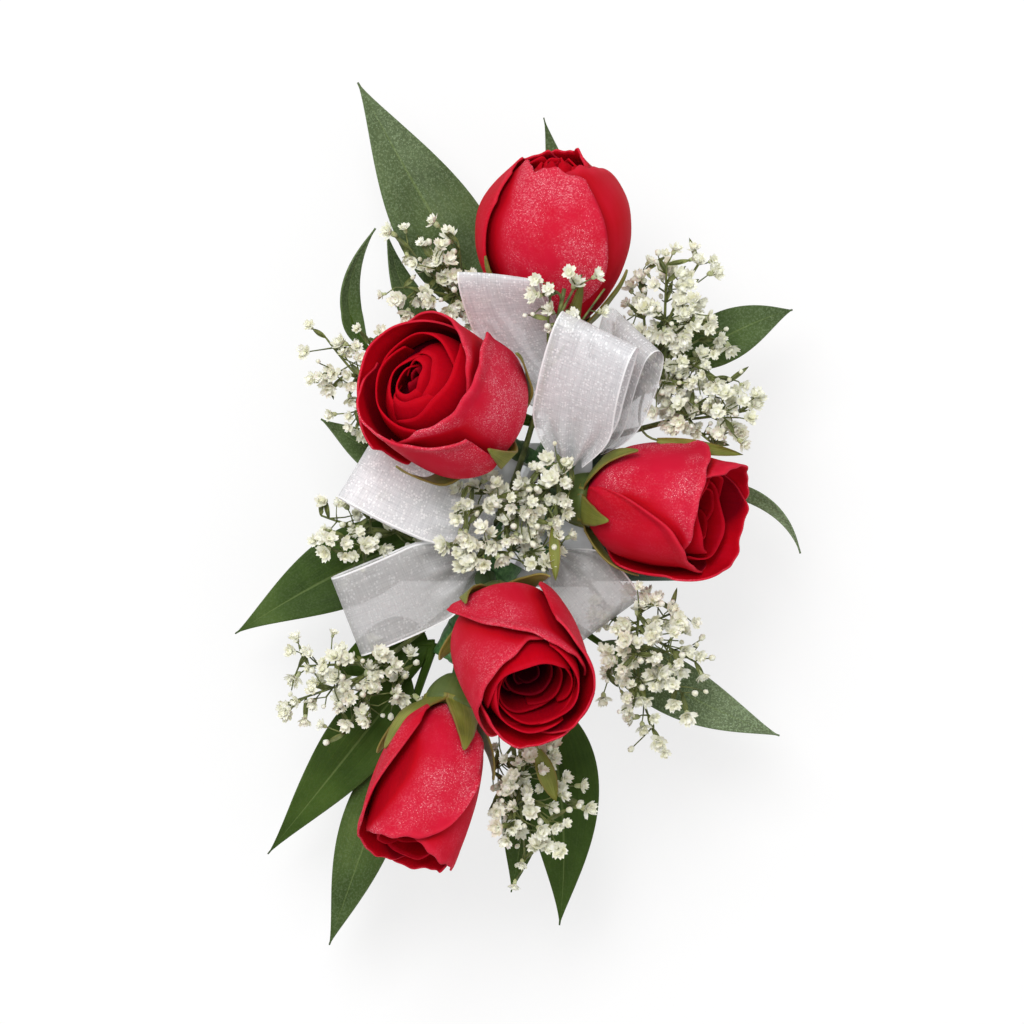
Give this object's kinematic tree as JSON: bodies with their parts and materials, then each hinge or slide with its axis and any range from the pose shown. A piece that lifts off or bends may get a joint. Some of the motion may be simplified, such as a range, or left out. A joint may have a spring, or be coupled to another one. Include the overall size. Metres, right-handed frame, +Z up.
{
  "type": "wrist corsage",
  "caption": "Red rose wrist corsage with dark green leaves, baby's breath and sheer white ribbon loops on a taped spine, clipped to a stretch wristband.",
  "frame": {"origin": "on the table under the middle of the lower run of the elastic", "axes": "+Z up out of the face of the corsage, +Y along the spray towards the top rose, +X to the right seen from above"},
  "size_m": [0.1092, 0.1661, 0.0806],
  "materials": {
    "rose_petal": "velvet with fine silver glitter",
    "rose_heart": "velvet",
    "calyx": "matte",
    "leaf": "waxy satin",
    "ribbon": "sheer with glitter",
    "gypsophila": "matte",
    "floral_tape": "waxed crepe",
    "elastic": "woven",
    "clip_steel": "satin"
  },
  "bodies": {
    "wristlet": {"wristlet_band_upper": "elastic", "wristlet_band_left": "elastic", "wristlet_band_right": "elastic", "wristlet_clip": "clip_steel", "taped_spine": "floral_tape", "ribbon_knot": "ribbon", "ribbon_loop_top": "ribbon", "ribbon_loop_upper_right": "ribbon", "ribbon_loop_far_right": "ribbon", "ribbon_loop_left": "ribbon", "ribbon_loop_low_left": "ribbon", "ribbon_loop_low_right": "ribbon", "gypsophila_top_left": "gypsophila", "gypsophila_right": "gypsophila", "gypsophila_left": "gypsophila", "gypsophila_centre": "gypsophila", "gypsophila_low_left": "gypsophila", "gypsophila_low_right": "gypsophila", "gypsophila_bottom": "gypsophila"},
    "wristlet_under": {"wristlet_band_lower": "elastic"},
    "rose_top": {"rose_top_heart": "rose_heart", "rose_top_petal_1": "rose_petal", "rose_top_petal_2": "rose_petal", "rose_top_petal_3": "rose_petal", "rose_top_petal_4": "rose_petal", "rose_top_calyx": "calyx"},
    "rose_left": {"rose_left_heart": "rose_heart", "rose_left_petal_1": "rose_petal", "rose_left_petal_2": "rose_petal", "rose_left_petal_3": "rose_petal", "rose_left_petal_4": "rose_petal", "rose_left_calyx": "calyx"},
    "rose_right": {"rose_right_heart": "rose_heart", "rose_right_petal_1": "rose_petal", "rose_right_petal_2": "rose_petal", "rose_right_petal_3": "rose_petal", "rose_right_petal_4": "rose_petal", "rose_right_calyx": "calyx"},
    "rose_centre": {"rose_centre_heart": "rose_heart", "rose_centre_petal_1": "rose_petal", "rose_centre_petal_2": "rose_petal", "rose_centre_petal_3": "rose_petal", "rose_centre_petal_4": "rose_petal", "rose_centre_calyx": "calyx"},
    "rose_bottom": {"rose_bottom_heart": "rose_heart", "rose_bottom_petal_1": "rose_petal", "rose_bottom_petal_2": "rose_petal", "rose_bottom_petal_3": "rose_petal", "rose_bottom_petal_4": "rose_petal", "rose_bottom_calyx": "calyx"},
    "leaf_top_left_stem": {"leaf_top_left": "leaf"},
    "leaf_spray_left_stem": {"leaf_spray_left": "leaf"},
    "leaf_top_stem": {"leaf_top": "leaf"},
    "leaf_spray_right_stem": {"leaf_spray_right": "leaf"},
    "leaf_right_stem": {"leaf_right": "leaf"},
    "leaf_spray_mid_left_stem": {"leaf_spray_mid_left": "leaf"},
    "leaf_low_right_stem": {"leaf_low_right": "leaf"},
    "leaf_spray_low_left_stem": {"leaf_spray_low_left": "leaf"},
    "leaf_spray_bottom_stem": {"leaf_spray_bottom": "leaf"}
  },
  "joints": [
    {"name": "elastic_stretch", "type": "slide", "parent": "wristlet", "child": "wristlet_under", "axis": [0, 0, -1], "range_m": [0, 0.02], "stiffness_N_per_m": 150, "deforming": ["wristlet_band_left", "wristlet_band_right"]},
    {"name": "rose_top_bend", "type": "hinge", "parent": "wristlet", "child": "rose_top", "pos_m": [0.0045, 0.02573, 0.03991], "axis": [1, 0, 0], "range_deg": [-10, 1]},
    {"name": "rose_left_bend", "type": "hinge", "parent": "wristlet", "child": "rose_left", "pos_m": [-0.00201, 0.01219, 0.04181], "axis": [0.5592, 0.829, 0], "range_deg": [-2, 1]},
    {"name": "rose_right_bend", "type": "hinge", "parent": "wristlet", "child": "rose_right", "pos_m": [0.00224, 0.00359, 0.04291], "axis": [-0.1045, -0.9945, 0], "range_deg": [-2, 10]},
    {"name": "rose_centre_bend", "type": "hinge", "parent": "wristlet", "child": "rose_centre", "pos_m": [-0.00855, -0.01221, 0.04433], "axis": [-0.9136, -0.4067, 0], "range_deg": [-6, 10]},
    {"name": "rose_bottom_bend", "type": "hinge", "parent": "wristlet", "child": "rose_bottom", "pos_m": [-0.01255, -0.02791, 0.04208], "axis": [-0.9563, 0.2924, 0], "range_deg": [-12, 5]},
    {"name": "leaf_top_left_bend", "type": "hinge", "parent": "wristlet", "child": "leaf_top_left_stem", "pos_m": [0.00505, 0.02187, 0.0332], "axis": [0.849, 0.5284, 0], "range_deg": [-8, 2]},
    {"name": "leaf_spray_left_bend", "type": "hinge", "parent": "wristlet", "child": "leaf_spray_left_stem", "pos_m": [0.00263, 0.01725, 0.0332], "axis": [0.7674, 0.6412, 0], "range_deg": [-15, 2]},
    {"name": "leaf_top_bend", "type": "hinge", "parent": "wristlet", "child": "leaf_top_stem", "pos_m": [0.01218, 0.03034, 0.0332], "axis": [0.9796, 0.2009, 0], "range_deg": [-15, 2]},
    {"name": "leaf_spray_right_bend", "type": "hinge", "parent": "wristlet", "child": "leaf_spray_right_stem", "pos_m": [0.01407, 0.01839, 0.0332], "axis": [0.6748, -0.738, 0], "range_deg": [-15, 2]},
    {"name": "leaf_right_bend", "type": "hinge", "parent": "wristlet", "child": "leaf_right_stem", "pos_m": [0.00506, 0.00072, 0.0332], "axis": [-0.1706, -0.9853, 0], "range_deg": [-10, 2]},
    {"name": "leaf_spray_mid_left_bend", "type": "hinge", "parent": "wristlet", "child": "leaf_spray_mid_left_stem", "pos_m": [-0.00578, -0.00048, 0.0332], "axis": [0.0452, 0.999, 0], "range_deg": [-10, 2]},
    {"name": "leaf_low_right_bend", "type": "hinge", "parent": "wristlet", "child": "leaf_low_right_stem", "pos_m": [-0.002, -0.01308, 0.0332], "axis": [-0.5058, -0.8626, 0], "range_deg": [-15, 2]},
    {"name": "leaf_spray_low_left_bend", "type": "hinge", "parent": "wristlet", "child": "leaf_spray_low_left_stem", "pos_m": [-0.01835, -0.02467, 0.0332], "axis": [-0.7277, 0.6859, 0], "range_deg": [-15, 2]},
    {"name": "leaf_spray_bottom_bend", "type": "hinge", "parent": "wristlet", "child": "leaf_spray_bottom_stem", "pos_m": [-0.0048, -0.01861, 0.0332], "axis": [-0.9952, -0.098, 0], "range_deg": [-15, 2]}
  ]
}
